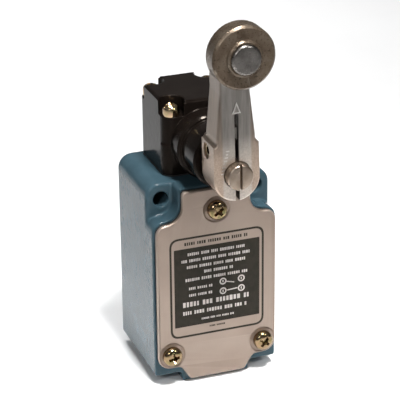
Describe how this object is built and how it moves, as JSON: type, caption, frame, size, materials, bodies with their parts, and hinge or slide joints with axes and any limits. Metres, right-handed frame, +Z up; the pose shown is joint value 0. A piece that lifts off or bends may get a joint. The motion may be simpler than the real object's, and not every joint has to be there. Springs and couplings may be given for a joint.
{
  "type": "limit switch",
  "caption": "Heavy-duty limit switch: die-cast housing with bottom conduit entry, rotary head and a clamp-on lever with a steel roller.",
  "frame": {"origin": "centre of the flat rear mounting face of the housing", "axes": "+Y out of the rear mounting face, -Y out of the cover, +Z up towards the lever and roller, +X to the right seen from the front"},
  "size_m": [0.04, 0.062, 0.1234],
  "materials": {
    "housing_paint": "semi-gloss enamel on zinc die casting",
    "cover_metal": "brushed, lacquered",
    "head_paint": "gloss enamel on zinc die casting",
    "yellow_zinc": "yellow zinc plated steel",
    "green_zinc": "green ground screw",
    "plated_steel": "turned and plated",
    "lever_steel": "pressed, zinc plated",
    "sintered_steel": "oil-impregnated sintered steel",
    "spring_steel": "bright wire",
    "rubber": "matt",
    "bronze": "oil-impregnated bronze",
    "brass": "bright",
    "contact_copper": "bright",
    "phenolic": "moulded",
    "nylon": "moulded"
  },
  "bodies": {
    "root": {"housing": "housing_paint", "cover_gasket": "rubber", "cover_plate": "cover_metal", "ground_screw": "green_zinc", "head_housing": "head_paint", "head_gasket": "rubber", "shaft_bushing": "bronze", "shaft_seal": "rubber", "plunger_guide": "bronze", "plunger_seal": "rubber", "plunger_spring": "spring_steel", "switch_case": "phenolic", "switch_front_cover": "phenolic", "carrier_spring": "spring_steel", "cover_screw_top": "yellow_zinc", "cover_screw_left": "yellow_zinc", "cover_screw_right": "yellow_zinc", "head_screw_front_left": "yellow_zinc", "head_screw_front_right": "yellow_zinc", "head_screw_rear_left": "yellow_zinc", "head_screw_rear_right": "yellow_zinc", "switch_screw_lower": "yellow_zinc", "switch_screw_upper": "yellow_zinc", "terminal_closed_left": "brass", "terminal_screw_closed_left": "brass", "terminal_closed_right": "brass", "terminal_screw_closed_right": "brass", "terminal_open_left": "brass", "terminal_screw_open_left": "brass", "terminal_open_right": "brass", "terminal_screw_open_right": "brass"},
    "lever": {"shaft": "plated_steel", "shaft_cam": "plated_steel", "shaft_retaining_ring": "plated_steel", "lever_arm": "lever_steel", "clamp_screw": "yellow_zinc", "roller_pin": "plated_steel", "roller_spacer": "plated_steel", "return_spring": "spring_steel"},
    "roller": {"roller": "sintered_steel"},
    "plunger": {"plunger": "plated_steel"},
    "contact": {"contact_carrier": "nylon", "contact_bridge": "contact_copper"}
  },
  "joints": [
    {"name": "lever_turn", "type": "hinge", "parent": "root", "child": "lever", "pos_m": [0, -0.012, 0.04165], "axis": [0, 1, 0], "range_deg": [-75, 75], "stiffness_Nm_per_rad": 0.3, "deforming": ["return_spring"]},
    {"name": "roller_spin", "type": "hinge", "parent": "lever", "child": "roller", "pos_m": [-0.00066, -0.0565, 0.07974], "axis": [0, 1, 0], "continuous": true},
    {"name": "plunger_slide", "type": "slide", "parent": "root", "child": "plunger", "axis": [0, 0, -1], "range_m": [0, 0.0012], "stiffness_N_per_m": 300, "deforming": ["plunger_spring", "carrier_spring"]},
    {"name": "contact_slide", "type": "slide", "parent": "root", "child": "contact", "axis": [0, 0, -1], "range_m": [0, 0.0012]}
  ],
  "couplings": [
    {"joint": "contact_slide", "follows": "plunger_slide", "ratio": 1}
  ]
}
